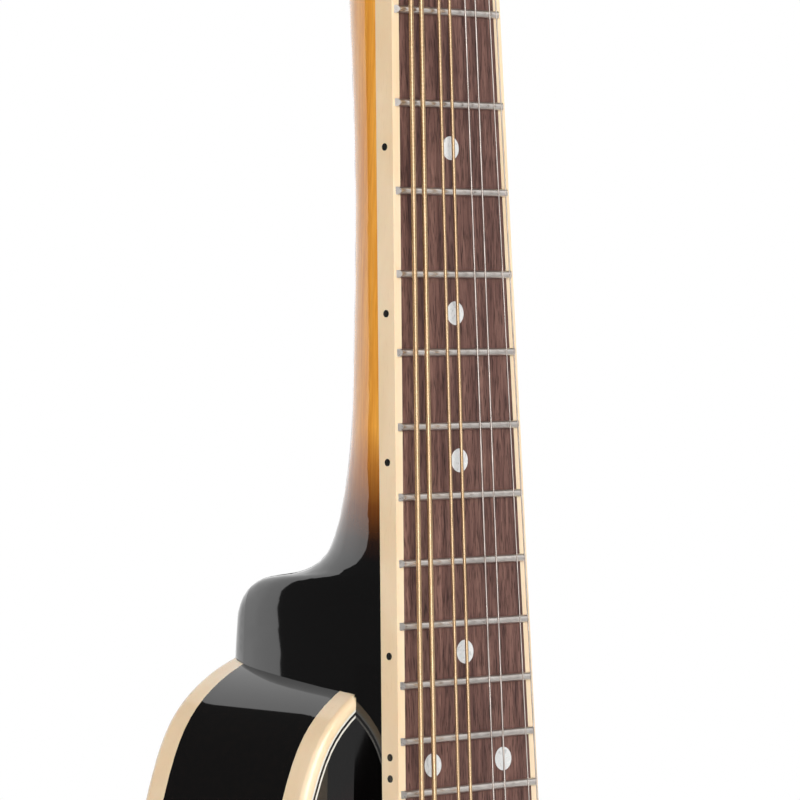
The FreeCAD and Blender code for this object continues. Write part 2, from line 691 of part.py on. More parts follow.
def make_string(row):
    """One string: loop on its hook, over saddle and nut, wound on its post."""
    radius = row["radius"]
    way = [row["hook"], row["saddle"], row["nut"], row["wrap"]]
    pieces = [rod(a, b, radius) for a, b in zip(way, way[1:])]
    pieces += [Part.makeSphere(radius, point) for point in way[1:-1]]
    loop = Part.makeTorus(HOOK_RADIUS + radius + 0.3, radius, Vector(row["hook_x"], -HOOK_LEVEL, HOOK_Z), Y_AXIS)
    pieces.append(placed(loop, TAIL))
    inner = dim("post_radius") + WRAP_GAP
    height = 2 * radius * row["turns"]
    x, z = row["post"]
    base = Vector(x, -WRAP_LEVEL - radius, z)
    winding = Part.makeCylinder(inner + 2 * radius, height, base, Y_AXIS)
    winding = winding.cut(Part.makeCylinder(inner, height, base, Y_AXIS))
    pieces.append(placed(winding, HEAD))
    return fused(pieces)


def string_slot(start, end, radius, up):
    """Groove for a string, open upwards."""
    along = end - start
    start = start - along * 0.02
    groove = rod(start, end, radius)
    tops = [start, end, end + up * 3, start + up * 3]
    side = along.cross(up).normalize() * radius
    slab = polygon_face([p - side for p in tops]).extrude(side * 2)
    return groove.fuse(slab)


for entry in STRINGS:
    feature("string_" + entry["name"], make_string(entry))


def make_nut():
    """Bone nut with one slot for each string."""
    half = board_half(0)
    blank = polygon_face([Vector(-half, dim("board_thickness"), 0), Vector(-half, dim("board_thickness"), 4.5),
                          Vector(-half, -dim("nut_rise") + 0.9, 4.5), Vector(-half, -dim("nut_rise"), 3.0),
                          Vector(-half, -dim("nut_rise"), 0)]).extrude(Vector(2 * half, 0, 0))
    blank = placed(blank, NECK)
    up = NECK.Rotation.multVec(Vector(0, -1, 0))
    for row in STRINGS:
        behind = row["nut"] + (row["wrap"] - row["nut"]) * 0.25
        blank = blank.cut(string_slot(row["nut"], behind, row["radius"] + 0.03, up))
        before = row["nut"] + (row["saddle"] - row["nut"]) * 0.02
        blank = blank.cut(string_slot(row["nut"], before, row["radius"] + 0.03, up))
    return blank


feature("nut", make_nut())

# ---------------------------------------------------------------- headstock

overlay = head_outline(0, dim("overlay_thickness"), 0.0, 0.6)
overlay = overlay.cut(group([Part.makeCylinder(4.3, 30, Vector(x, -5, z), Y_AXIS) for _, x, z, _ in post_places()]))
overlay = overlay.cut(COVER_SCREWS)
rod_pocket = placed(box(-5.5, 5.5, -8, dim("truss_rod_depth") + 5, 5, 24), HEAD.inverse().multiply(NECK))
feature("headstock_overlay", overlay.cut(rod_pocket), HEAD)


def make_truss_cover():
    """Bell-shaped cover over the truss rod's nut."""
    half = ((8.6, 1.2), (8.8, 7.5), (6.6, 13), (4.6, 20), (4.2, 28), (3.4, 34))
    right = [Vector(x, -COVER_THICKNESS, z) for x, z in half]
    left = [Vector(-p.x, p.y, p.z) for p in reversed(right)]
    curve = Part.BSplineCurve()
    curve.interpolate(right + [Vector(0, -COVER_THICKNESS, 37)] + left)
    face = Part.Face(Part.Wire([curve.toShape(), Part.LineSegment(left[-1], right[0]).toShape()]))
    return face.extrude(Vector(0, COVER_THICKNESS, 0)).cut(COVER_SCREWS)


feature("truss_rod_cover", make_truss_cover(), HEAD)
feature("truss_cover_screws", COVER_SCREWS, HEAD)

rod_axis_y = dim("truss_rod_depth")
rod_place = NECK.multiply(Placement(Vector(0, rod_axis_y, -140), Rotation()))
truss_rod = primitive("Part::Cylinder", "truss_rod", rod_place, Radius="Dimensions.truss_rod_radius")
truss_rod.Height = 161
subpart(truss_rod)


def make_truss_nut():
    """Hexagonal nut on the truss rod, a PartDesign body."""
    body = new_body("truss_rod_nut")
    sketch = new_sketch(body, "XY_Plane", "hexagon")
    corner = dim("truss_nut_flats") / math.sqrt(3)
    draw_polygon(sketch, [(corner * math.cos(math.radians(60 * k)), corner * math.sin(math.radians(60 * k)))
                          for k in range(6)])
    pad = body.newObject("PartDesign::Pad", "hexagon_pad")
    pad.Profile = sketch
    pad.Length = 9.0
    doc.recompute()
    hole = new_sketch(body, "XY_Plane", "nut_hole")
    draw_circle(hole, "Dimensions.truss_rod_radius + Dimensions.running_gap")
    pocket = body.newObject("PartDesign::Pocket", "nut_bore")
    pocket.Profile = hole
    pocket.Type = 1
    pocket.Midplane = True
    doc.recompute()
    body.Placement = NECK.multiply(Placement(Vector(0, rod_axis_y, 9.5), Rotation()))
    return body


subpart(make_truss_nut())


def make_tuner_plates():
    """Two plates with ears that carry the worms and holes for the posts."""
    plates = []
    for side in (-1, 1):
        x0, x1 = sorted((side * PLATE_X[0], side * PLATE_X[1]))
        plate = box(x0, x1, back_y, plate_back, *PLATE_Z)
        for _, x, z, post_side in post_places():
            if post_side != side:
                continue
            worm_z = z + dim("worm_offset")
            for ear_x in (x - side * 5.6, x + side * 5.6):
                ear = box(ear_x - 0.5, ear_x + 0.5, plate_back - 0.5, plate_back + 5.6, worm_z - 3.2, worm_z + 3.2)
                plate = plate.fuse(ear)
            bore = dim("key_shaft_radius") + dim("running_gap")
            plate = plate.cut(Part.makeCylinder(bore, 40, Vector(x - 20, plate_back + WORM_LEVEL, worm_z), X_AXIS))
            post_bore = dim("post_radius") + dim("running_gap")
            plate = plate.cut(Part.makeCylinder(post_bore, 6, Vector(x, back_y - 2, z), Y_AXIS))
        plates.append(plate.removeSplitter().cut(PLATE_SCREWS))
    return group(plates)


WORM_LEVEL = 2.6
GEAR_LEVEL = WORM_LEVEL - dim("gear_thickness") / 2
feature("tuner_plates", make_tuner_plates(), HEAD)
feature("tuner_plate_screws", PLATE_SCREWS, HEAD)


def make_bushings():
    """Eight press-in bushings with a collar on the headstock's face."""
    pieces = []
    for _, x, z, _ in post_places():
        sleeve = Part.makeCylinder(4.3, 11.0, Vector(x, 0, z), Y_AXIS)
        collar = Part.makeCylinder(5.4, 0.9, Vector(x, -0.9, z), Y_AXIS)
        lip = Part.makeCone(4.4, 5.4, 0.5, Vector(x, -1.4, z), Y_AXIS)
        bore = Part.makeCylinder(dim("post_radius") + dim("running_gap"), 20, Vector(x, -5, z), Y_AXIS)
        pieces.append(fused([sleeve, collar, lip]).cut(bore))
    return group(pieces)


feature("post_bushings", make_bushings(), HEAD)


def gear_prism():
    """Worm wheel, its teeth worked out from the tooth count."""
    teeth, tip, root = int(dim("gear_teeth")), dim("gear_radius"), dim("gear_root")
    step = 2 * math.pi / teeth
    points = []
    for k in range(teeth):
        for share, radius in ((-0.30, root), (-0.14, tip), (0.14, tip), (0.30, root)):
            angle = (k + share) * step
            points.append(Vector(radius * math.sin(angle), 0, radius * math.cos(angle)))
    return polygon_face(points).extrude(Vector(0, dim("gear_thickness"), 0))


GEAR = gear_prism()


def make_post(name, x, z):
    """String post: shaft, string hole, gear, and the screw that holds the gear."""
    shaft = primitive("Part::Cylinder", f"shaft_{name}", Placement(Vector(0, -dim("post_rise"), 0),
                      Rotation(X_AXIS, -90)), Radius="Dimensions.post_radius",
                      Height="Dimensions.post_rise + Dimensions.head_thickness + 5.0")
    tip = primitive("Part::Cone", f"tip_{name}", Placement(Vector(0, -dim("post_rise") - 0.8, 0),
                    Rotation(X_AXIS, -90)), Radius1="Dimensions.post_radius - 0.6",
                    Radius2="Dimensions.post_radius")
    tip.Height = 0.8
    gear = doc.addObject("Part::Feature", f"gear_{name}")
    gear.Shape = GEAR
    gear.Placement = Placement(Vector(0, plate_back + GEAR_LEVEL, 0), Rotation())
    cap = primitive("Part::Cylinder", f"cap_{name}", Placement(Vector(0, plate_back + GEAR_LEVEL
                    + dim("gear_thickness"), 0), Rotation(X_AXIS, -90)))
    cap.Radius = 2.6
    cap.Height = 0.8
    slot = primitive("Part::Box", f"slot_{name}", Placement(Vector(-4, plate_back + GEAR_LEVEL
                     + dim("gear_thickness") + 0.4, -0.35), Rotation()))
    slot.Length, slot.Width, slot.Height = 8, 2.0, 0.7
    eye_place = Placement(Vector(-5, -WRAP_LEVEL - 2.0, 0), Rotation(Y_AXIS, 90))
    eye = primitive("Part::Cylinder", f"eye_{name}", eye_place)
    eye.Radius, eye.Height = 0.75, 10
    whole = doc.addObject("Part::MultiFuse", f"post_blank_{name}")
    whole.Shapes = [shaft, tip, gear, cap]
    tools = doc.addObject("Part::MultiFuse", f"post_cuts_{name}")
    tools.Shapes = [slot, eye]
    post = doc.addObject("Part::Cut", f"tuner_post_{name}")
    post.Base, post.Tool = whole, tools
    post.Label = f"tuner_post_{name}"
    post.Placement = HEAD.multiply(Placement(Vector(x, 0, z), Rotation()))
    return post


def make_key(name, x, z, side):
    """Tuner key: worm, shaft and an oval button."""
    turn = Rotation(Y_AXIS, 90 * side)
    at = Vector(x, plate_back + WORM_LEVEL, z + dim("worm_offset"))
    shaft = primitive("Part::Cylinder", f"key_shaft_{name}", Placement(Vector(0, 0, -7.6), Rotation()),
                      Radius="Dimensions.key_shaft_radius")
    shaft.Height = 27
    worm = primitive("Part::Cylinder", f"worm_{name}", Placement(Vector(0, 0, -4.7), Rotation()),
                     Radius="Dimensions.worm_radius")
    worm.Height = 9.4
    collar = primitive("Part::Cone", f"collar_{name}", Placement(Vector(0, 0, 13.6), Rotation()))
    collar.Radius1, collar.Radius2, collar.Height = 3.4, 2.6, 4.0
    button = primitive("Part::Ellipsoid", f"button_{name}", Placement(Vector(0, 0, 24.5), Rotation()))
    button.Radius1, button.Radius2, button.Radius3 = 8.0, 8.6, 3.4
    whole = doc.addObject("Part::MultiFuse", f"tuner_key_{name}")
    whole.Shapes = [shaft, worm, collar, button]
    whole.Label = f"tuner_key_{name}"
    whole.Placement = HEAD.multiply(Placement(at, turn))
    return whole


for post_name, post_x, post_z, post_side in post_places():
    subpart(make_post(post_name, post_x, post_z))
    subpart(make_key(post_name, post_x, post_z, post_side))

# ---------------------------------------------------------------- bridge

BRIDGE_Z = STRINGS[0]["saddle"].z
BASE_TOP, SADDLE_BOTTOM, SADDLE_TOP = -40.5, -45.3, -52.0
POST_TIP, POST_BORE_END = -47.4, -49.7


def make_bridge_base():
    """Foot of the bridge, fitted to the arch, with a step under each wheel."""
    profile = polygon_face([Vector(x, y, BRIDGE_Z - 6) for x, y in
                            ((-52, -20), (-52, -35.0), (-46, -37.6), (-36, BASE_TOP), (36, BASE_TOP),
                             (46, -37.6), (52, -35.0), (52, -20))])
    base = profile.extrude(Vector(0, 0, 12)).cut(TOP_OUTER)
    foot_gap = box(-14, 14, BASE_TOP + 2.6, 0, BRIDGE_Z - 7, BRIDGE_Z + 7)
    base = base.cut(foot_gap)
    return base.cut(BRIDGE_POSTS)


def bridge_post(x):
    """Threaded post that stands in the base."""
    length = BASE_TOP + 2.9 - POST_TIP
    return Part.makeCylinder(dim("bridge_post_radius"), length, Vector(x, POST_TIP, BRIDGE_Z), Y_AXIS)


BRIDGE_POSTS = group([bridge_post(-dim("bridge_post_x")), bridge_post(dim("bridge_post_x"))])
feature("bridge_posts", BRIDGE_POSTS)
feature("bridge_base", make_bridge_base())


def make_saddle():
    """Saddle with a narrow crest, string notches and blind post holes."""
    front = polygon_face([Vector(x, y, BRIDGE_Z - 6) for x, y in
                          ((-35, SADDLE_BOTTOM), (35, SADDLE_BOTTOM), (35, -49.4), (31, -50.9), (25, SADDLE_TOP),
                           (-25, SADDLE_TOP), (-31, -50.9), (-35, -49.4))]).extrude(Vector(0, 0, 12))
    side = polygon_face([Vector(-40, SADDLE_BOTTOM, BRIDGE_Z - 4.5), Vector(-40, SADDLE_BOTTOM, BRIDGE_Z + 4.5),
                         Vector(-40, -49.6, BRIDGE_Z + 3.6), Vector(-40, SADDLE_TOP, BRIDGE_Z + 1.3),
                         Vector(-40, SADDLE_TOP, BRIDGE_Z - 1.3), Vector(-40, -49.6, BRIDGE_Z - 3.6)]
                        ).extrude(Vector(80, 0, 0))
    saddle = front.common(side)
    for sign in (-1, 1):
        x = sign * dim("bridge_post_x")
        bore = dim("bridge_post_radius") + dim("running_gap")
        saddle = saddle.cut(Part.makeCylinder(bore, 10, Vector(x, POST_BORE_END, BRIDGE_Z), Y_AXIS))
    up = Vector(0, -1, 0)
    for row in STRINGS:
        for far in (row["nut"], row["hook"]):
            near = row["saddle"] + (far - row["saddle"]).normalize() * 8
            saddle = saddle.cut(string_slot(row["saddle"], near, row["radius"] + 0.06, up))
    return saddle


feature("bridge_saddle", make_saddle())


def make_thumbwheel(label, x):
    """Knurled wheel on a bridge post, a PartDesign body with a patterned edge."""
    body = new_body(label)
    sketch = new_sketch(body, "XY_Plane", f"{label}_disc")
    draw_circle(sketch, "Dimensions.thumbwheel_radius")
    pad = body.newObject("PartDesign::Pad", f"{label}_pad")
    pad.Profile = sketch
    pad.setExpression("Length", "Dimensions.thumbwheel_height")
    doc.recompute()
    hole = new_sketch(body, "XY_Plane", f"{label}_hole")
    draw_circle(hole, "Dimensions.bridge_post_radius + Dimensions.running_gap")
    bore = body.newObject("PartDesign::Pocket", f"{label}_bore")
    bore.Profile = hole
    bore.Type = 1
    bore.Midplane = True
    notch = new_sketch(body, "XY_Plane", f"{label}_notch")
    radius = dim("thumbwheel_radius")
    draw_polygon(notch, [(radius + 0.2, -0.45), (radius + 0.2, 0.45), (radius - 0.4, 0)])
    knurl = body.newObject("PartDesign::Pocket", f"{label}_knurl")
    knurl.Profile = notch
    knurl.Type = 1
    knurl.Midplane = True
    doc.recompute()
    pattern = body.newObject("PartDesign::PolarPattern", f"{label}_pattern")
    pattern.Originals = [knurl]
    pattern.Axis = (sketch, ["N_Axis"])
    pattern.Angle = 360
    pattern.Occurrences = 36
    body.Tip = pattern
    doc.recompute()
    body.Placement = Placement(Vector(x, SADDLE_BOTTOM + 0.1 + dim("thumbwheel_height"), BRIDGE_Z),
                               Rotation(X_AXIS, 90))
    return body


subpart(make_thumbwheel("thumbwheel_bass", -dim("bridge_post_x")))
subpart(make_thumbwheel("thumbwheel_treble", dim("bridge_post_x")))

# ---------------------------------------------------------------- tailpiece

TAIL_LENGTH = 44.0


def make_tailpiece_base():
    """Folded plate: an end flange on the ribs, a bed with side flanges and hooks."""
    bed = box(-20, 20, -1.2, 0, 0, TAIL_LENGTH)
    for side in (-1, 1):
        x0, x1 = sorted((side * 18.8, side * 20))
        bed = bed.fuse(box(x0, x1, -5, -0.6, 0, TAIL_LENGTH - 4))
    for k in range(8):
        x = (k - 3.5) * HOOK_PITCH
        bed = bed.fuse(Part.makeCylinder(HOOK_RADIUS, 4.6, Vector(x, -5.2, HOOK_Z), Y_AXIS))
    bed = placed(bed, TAIL)
    flange = box(-16, 16, -27.6, 15, dim("tail_z") - 1.4, dim("tail_z") - 0.2)
    return fused([bed, flange]).cut(TAIL_SCREWS).cut(button_hole)


def make_tailpiece_cover():
    """Shell that slides over the base and hides the string loops."""
    outer = box(-21.4, 21.4, -9.4, -1.0, -2.6, TAIL_LENGTH + 4)
    long_edges = [e for e in outer.Edges if e.BoundBox.ZLength > 40 and e.BoundBox.YMin < -9.3]
    outer = outer.makeFillet(3.0, long_edges)
    inner = box(-20.2, 20.2, -8.3, 2, -1.4, TAIL_LENGTH + 10)
    long_edges = [e for e in inner.Edges if e.BoundBox.ZLength > 40 and e.BoundBox.YMin < -8.2]
    inner = inner.makeFillet(2.0, long_edges)
    lip = Part.makeCylinder(60, 20, Vector(0, -12, TAIL_LENGTH + 61.5), Y_AXIS)
    return outer.cut(inner).cut(lip)


feature("tailpiece_base", make_tailpiece_base())
feature("tailpiece_cover", make_tailpiece_cover(), TAIL)
feature("tailpiece_screws", TAIL_SCREWS)


def make_strap_button():
    """Turned strap button with a tapered waist and a peg, a PartDesign revolution."""
    body = new_body("strap_button")
    sketch = new_sketch(body, "XZ_Plane", "button_profile")
    head, half = dim("strap_head_radius"), dim("strap_head_length") / 2
    seat = dim("tail_z") - 1.4
    profile = [(0, -half - 1.3), (head * 0.55, -half - 1.0), (head - 0.4, -half - 0.3), (head, -half), (head, half),
               (head - 0.5, half + 0.4), (5.0, half + 1.3), (4.0, half + 2.8), (3.9, seat - 4.2), (4.8, seat - 1.8),
               (6.4, seat - 0.8), (6.4, seat), (3.5, seat), (3.5, 32), (0, 32)]
    draw_polygon(sketch, profile)
    turned = body.newObject("PartDesign::Revolution", "button_turned")
    turned.Profile = sketch
    turned.ReferenceAxis = (sketch, ["V_Axis"])
    turned.Angle = 360
    doc.recompute()
    return body


subpart(make_strap_button())

# ---------------------------------------------------------------- checks and export

doc.recompute()
for obj in doc.Objects:
    if "Invalid" in obj.State or "Error" in obj.State:
        raise RuntimeError(f"{obj.Name} failed: {obj.State}")
os.makedirs("parts", exist_ok=True)
for obj in SUBPARTS:
    shape = obj.Shape
    if shape.isNull() or not shape.isValid() or not shape.Solids:
        raise RuntimeError(f"{obj.Label} has no valid solid")
    shape.exportStep(f"parts/{obj.Label}.step")
    print(f"{obj.Label}: {len(shape.Solids)} solid(s), {shape.Volume / 1000:.3f} cm3")
print(len(SUBPARTS), "sub-parts")
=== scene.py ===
import json
import math

import bmesh
import bpy
from mathutils import Matrix, Quaternion, Vector


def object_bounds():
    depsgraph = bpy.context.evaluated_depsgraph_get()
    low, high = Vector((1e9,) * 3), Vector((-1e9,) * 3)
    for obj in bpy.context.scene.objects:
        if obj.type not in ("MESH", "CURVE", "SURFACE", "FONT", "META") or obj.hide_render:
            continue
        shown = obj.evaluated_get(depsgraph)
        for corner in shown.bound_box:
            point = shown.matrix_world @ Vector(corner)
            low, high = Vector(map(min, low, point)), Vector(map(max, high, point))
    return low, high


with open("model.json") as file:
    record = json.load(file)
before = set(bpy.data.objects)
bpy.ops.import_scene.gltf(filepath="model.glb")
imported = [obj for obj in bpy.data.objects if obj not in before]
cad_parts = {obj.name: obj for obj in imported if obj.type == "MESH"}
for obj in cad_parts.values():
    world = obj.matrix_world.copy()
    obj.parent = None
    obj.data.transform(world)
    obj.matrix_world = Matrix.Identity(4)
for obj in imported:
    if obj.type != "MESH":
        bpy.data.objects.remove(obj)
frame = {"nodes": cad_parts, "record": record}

LOADED_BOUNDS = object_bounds()
NODES = frame["nodes"]
SLOT_OF = {row["node"]: row["material_slot"] for row in frame["record"]["subparts"]}
MM = 0.001

# Neck frame: its origin is the nut's front edge, and it leans back from the body.
NECK = Matrix.Translation(Vector((0, -24.9, 505)) * MM) @ Matrix.Rotation(math.radians(-3.6), 4, "X")

# Camera, in the neck frame: degrees, and distances in millimetres.
CAMERA_AZIMUTH = math.radians(-44.888)
CAMERA_DISTANCE, CAMERA_HEIGHT, CAMERA_SIDE = 946.945, -105.411, -11.561
CAMERA_TILT, CAMERA_ROLL = math.radians(-0.506), math.radians(1.667)
CAMERA_LENS, SENSOR = 212.93, 36.0

# Heights in metres between which the neck's colour fades to black.
FADE_LOW, FADE_HIGH = 0.376, 0.404
# Sunburst on the two plates: the oval where it ends, in metres.
BURST_CENTRE_Z, BURST_HALF_WIDTH, BURST_HALF_HEIGHT = 0.160, 0.122, 0.185
# Figure of the back: distance between flame bands in metres, and their fall from the centre joint.
FLAME_SPACING, FLAME_SLOPE = 0.0075, 0.35
# Spacing of the spruce's growth lines and of the turns on a wound string, in millimetres.
GROWTH_LINE, WINDING_PITCH = 1.25, 0.26
# Tuner keys: the button starts this far from the centre plane, in metres.
BUTTON_START = 0.0384
# Studio: brightness of the room in reflections, and the floor's radius and drop in metres.
ROOM_STRENGTH = 0.09
FLOOR_RADIUS, FLOOR_DROP = 2.4, 0.001
AIM = (0, 0, 0.36)


def srgb(red, green, blue):
    """Linear colour from 0-255 screen values."""
    def linear(value):
        value /= 255
        return value / 12.92 if value <= 0.04045 else ((value + 0.055) / 1.055) ** 2.4
    return (linear(red), linear(green), linear(blue), 1.0)


# ---------------------------------------------------------------- node helpers


class Shader:
    """A material with a Principled BSDF, and short calls for the nodes that feed it."""

    def __init__(self, name, **fixed):
        self.material = bpy.data.materials.new(name)
        self.material.use_nodes = True
        self.tree = self.material.node_tree
        self.bsdf = self.tree.nodes["Principled BSDF"]
        for socket, value in fixed.items():
            self.bsdf.inputs[socket.replace("_", " ")].default_value = value
        self.object_coords = self.tree.nodes.new("ShaderNodeTexCoord").outputs["Object"]

    def node(self, kind, **values):
        made = self.tree.nodes.new(kind)
        for key, value in values.items():
            setattr(made, key, value)
        return made

    def link(self, source, target):
        self.tree.links.new(source, target)

    def stretched(self, x, y, z):
        """Object coordinates in millimetres, times a factor for each axis."""
        mapping = self.node("ShaderNodeMapping")
        mapping.inputs["Scale"].default_value = (x / MM, y / MM, z / MM)
        self.link(self.object_coords, mapping.inputs["Vector"])
        return mapping.outputs["Vector"]

    def noise(self, stretch, scale=1.0, detail=4.0, distortion=0.0, roughness=0.55):
        noise = self.node("ShaderNodeTexNoise")
        for socket, value in (("Scale", scale), ("Detail", detail), ("Distortion", distortion),
                              ("Roughness", roughness)):
            noise.inputs[socket].default_value = value
        self.link(self.stretched(*stretch), noise.inputs["Vector"])
        return noise.outputs["Fac"]

    def bands(self, axis, period, stretch=(1, 1, 1), distortion=0.0, detail=2.0):
        """Sine bands across one axis, with their period in millimetres."""
        wave = self.node("ShaderNodeTexWave", wave_type="BANDS", bands_direction=axis)
        wave.inputs["Scale"].default_value = math.pi / (10 * period)
        wave.inputs["Distortion"].default_value = distortion
        wave.inputs["Detail"].default_value = detail
        self.link(self.stretched(*stretch), wave.inputs["Vector"])
        return wave.outputs["Fac"]

    def ramp(self, source, *stops):
        ramp = self.node("ShaderNodeValToRGB")
        elements = ramp.color_ramp.elements
        elements[0].position, elements[0].color = stops[0]
        elements[1].position, elements[1].color = stops[-1]
        for place, colour in stops[1:-1]:
            elements.new(place).color = colour
        self.link(source, ramp.inputs["Fac"])
        return ramp.outputs["Color"]

    def mix(self, mode, factor, first, second):
        mix = self.node("ShaderNodeMix", data_type="RGBA", blend_type=mode)
        for socket, value in ((mix.inputs[0], factor), (mix.inputs[6], first), (mix.inputs[7], second)):
            if isinstance(value, bpy.types.NodeSocket):
                self.link(value, socket)
            else:
                socket.default_value = value
        return mix.outputs[2]

    def span(self, source, low, high, to_low=0.0, to_high=1.0):
        span = self.node("ShaderNodeMapRange")
        for socket, value in zip(("From Min", "From Max", "To Min", "To Max"), (low, high, to_low, to_high)):
            span.inputs[socket].default_value = value
        self.link(source, span.inputs["Value"])
        return span.outputs["Result"]

    def math(self, operation, first, second=0.0):
        node = self.node("ShaderNodeMath", operation=operation)
        for socket, value in zip(node.inputs, (first, second)):
            if isinstance(value, bpy.types.NodeSocket):
                self.link(value, socket)
            else:
                socket.default_value = value
        return node.outputs[0]

    def axis(self, name):
        split = self.node("ShaderNodeSeparateXYZ")
        self.link(self.object_coords, split.inputs[0])
        return split.outputs[name]

    def bump(self, source, height_mm, strength=1.0):
        bump = self.node("ShaderNodeBump")
        bump.inputs["Strength"].default_value = strength
        bump.inputs["Distance"].default_value = height_mm * MM
        self.link(source, bump.inputs["Height"])
        self.link(bump.outputs["Normal"], self.bsdf.inputs["Normal"])

    def colour(self, source):
        self.link(source, self.bsdf.inputs["Base Color"])

    def roughness(self, source, low, high):
        self.link(self.span(source, 0.3, 0.7, low, high), self.bsdf.inputs["Roughness"])


# ---------------------------------------------------------------- materials

BLACK_LACQUER = srgb(5, 4, 4)
WHITE = (1.0, 1.0, 1.0, 1.0)


def lacquer(name):
    """Stained surface under a polished clear coat, which alone gives the reflections."""
    return Shader(name, Coat_Weight=1.0, Coat_Roughness=0.03, Coat_IOR=1.6, Specular_IOR_Level=0.0)


def neck_lacquer():
    """Maple stained amber, fading through brown to black over the heel."""
    s = lacquer("neck_lacquer")
    grain = s.noise((0.55, 0.55, 0.016), detail=7, distortion=0.4)
    pores = s.noise((2.6, 2.6, 0.09), detail=3)
    maple = s.ramp(grain, (0.28, srgb(230, 146, 48)), (0.5, srgb(248, 170, 64)), (0.75, srgb(254, 190, 92)))
    maple = s.mix("MULTIPLY", 0.30, maple, s.ramp(pores, (0.35, srgb(196, 160, 120)), (0.6, WHITE)))
    wander = s.noise((0.05, 0.05, 0.02), detail=2)
    height = s.math("ADD", s.axis("Z"), s.math("MULTIPLY", s.math("SUBTRACT", wander, 0.5), 0.006))
    fade = s.span(height, FADE_LOW, FADE_HIGH)
    tint = s.ramp(fade, (0.0, srgb(2, 2, 2)), (0.15, srgb(44, 34, 30)), (0.38, srgb(128, 104, 82)),
                  (0.69, srgb(206, 190, 178)), (0.96, WHITE))
    stained = s.mix("MULTIPLY", 1.0, maple, tint)
    s.colour(s.mix("LIGHTEN", 1.0, stained, BLACK_LACQUER))
    s.roughness(grain, 0.34, 0.44)
    s.bump(s.noise((0.12, 0.12, 0.05), detail=1), 0.02, 0.25)
    return s.material


def burst(s, honey):
    """Sunburst over the body's oval: honey in the middle, black at the edge."""
    across = s.math("DIVIDE", s.axis("X"), BURST_HALF_WIDTH)
    along = s.math("DIVIDE", s.math("SUBTRACT", s.axis("Z"), BURST_CENTRE_Z), BURST_HALF_HEIGHT)
    reach = s.math("SQRT", s.math("ADD", s.math("MULTIPLY", across, across), s.math("MULTIPLY", along, along)))
    wander = s.math("MULTIPLY", s.math("SUBTRACT", s.noise((0.03, 0.03, 0.03), detail=2), 0.5), 0.10)
    tint = s.ramp(s.math("ADD", reach, wander), (0.20, WHITE), (0.46, srgb(226, 172, 122)),
                  (0.66, srgb(150, 66, 32)), (0.84, srgb(40, 12, 8)), (0.95, srgb(3, 2, 2)))
    return s.mix("LIGHTEN", 1.0, s.mix("MULTIPLY", 1.0, honey, tint), BLACK_LACQUER)


def top_lacquer():
    """Spruce with fine even growth lines."""
    s = lacquer("top_lacquer")
    lines = s.bands("X", GROWTH_LINE, distortion=0.5, stretch=(1, 0.25, 0.012))
    fibre = s.noise((1.8, 0.6, 0.02), detail=5)
    spruce = s.ramp(lines, (0.15, srgb(206, 132, 48)), (0.6, srgb(232, 170, 80)), (1.0, srgb(240, 184, 96)))
    spruce = s.mix("MULTIPLY", 0.35, spruce, s.ramp(fibre, (0.35, srgb(205, 178, 145)), (0.65, WHITE)))
    s.colour(burst(s, spruce))
    s.roughness(fibre, 0.32, 0.42)
    s.bump(s.noise((0.1, 0.1, 0.08), detail=1), 0.02, 0.25)
    return s.material


def back_lacquer():
    """Figured maple, with flame bands that run down from the centre joint."""
    s = lacquer("back_lacquer")
    slope = s.math("ADD", s.axis("Z"), s.math("MULTIPLY", s.math("ABSOLUTE", s.axis("X")), FLAME_SLOPE))
    wander = s.noise((0.06, 0.06, 0.03), detail=3)
    phase = s.math("ADD", s.math("MULTIPLY", slope, math.tau / FLAME_SPACING), s.math("MULTIPLY", wander, 9.0))
    flame = s.math("ADD", s.math("MULTIPLY", s.math("SINE", phase), 0.5), 0.5)
    maple = s.ramp(flame, (0.1, srgb(178, 96, 30)), (0.55, srgb(214, 138, 54)), (0.95, srgb(236, 172, 84)))
    fibre = s.noise((1.5, 0.6, 0.03), detail=6)
    maple = s.mix("MULTIPLY", 0.35, maple, s.ramp(fibre, (0.35, srgb(200, 168, 130)), (0.65, WHITE)))
    s.colour(burst(s, maple))
    s.roughness(flame, 0.32, 0.42)
    s.bump(s.noise((0.1, 0.1, 0.08), detail=1), 0.02, 0.25)
    return s.material


def rib_lacquer():
    """Black lacquer with a faint brown grain under it and slight orange peel."""
    s = lacquer("rib_lacquer")
    grain = s.noise((0.25, 0.9, 0.9), detail=5, distortion=0.3)
    s.colour(s.ramp(grain, (0.4, srgb(4, 3, 3)), (0.75, srgb(13, 8, 6))))
    s.roughness(grain, 0.30, 0.40)
    s.bump(s.noise((0.14, 0.14, 0.14), detail=1), 0.02, 0.3)
    return s.material


def inner_wood():
    s = Shader("inner_wood", Specular_IOR_Level=0.3)
    grain = s.noise((0.8, 0.8, 0.02), detail=7, distortion=0.5)
    s.colour(s.ramp(grain, (0.3, srgb(184, 148, 100)), (0.55, srgb(214, 184, 138)), (0.8, srgb(226, 200, 158))))
    s.roughness(grain, 0.6, 0.8)
    s.bump(grain, 0.08, 0.4)
    return s.material


def plastic(name, dark, light, low, high, **fixed):
    """Moulded or scraped plastic: cloudy colour and fine scratches."""
    s = Shader(name, **fixed)
    cloud = s.noise((0.09, 0.09, 0.03), detail=4, distortion=0.6)
    s.colour(s.ramp(cloud, (0.32, dark), (0.68, light)))
    scratch = s.noise((5.0, 5.0, 0.25), detail=3)
    s.roughness(scratch, low, high)
    s.bump(scratch, 0.006, 0.3)
    return s.material


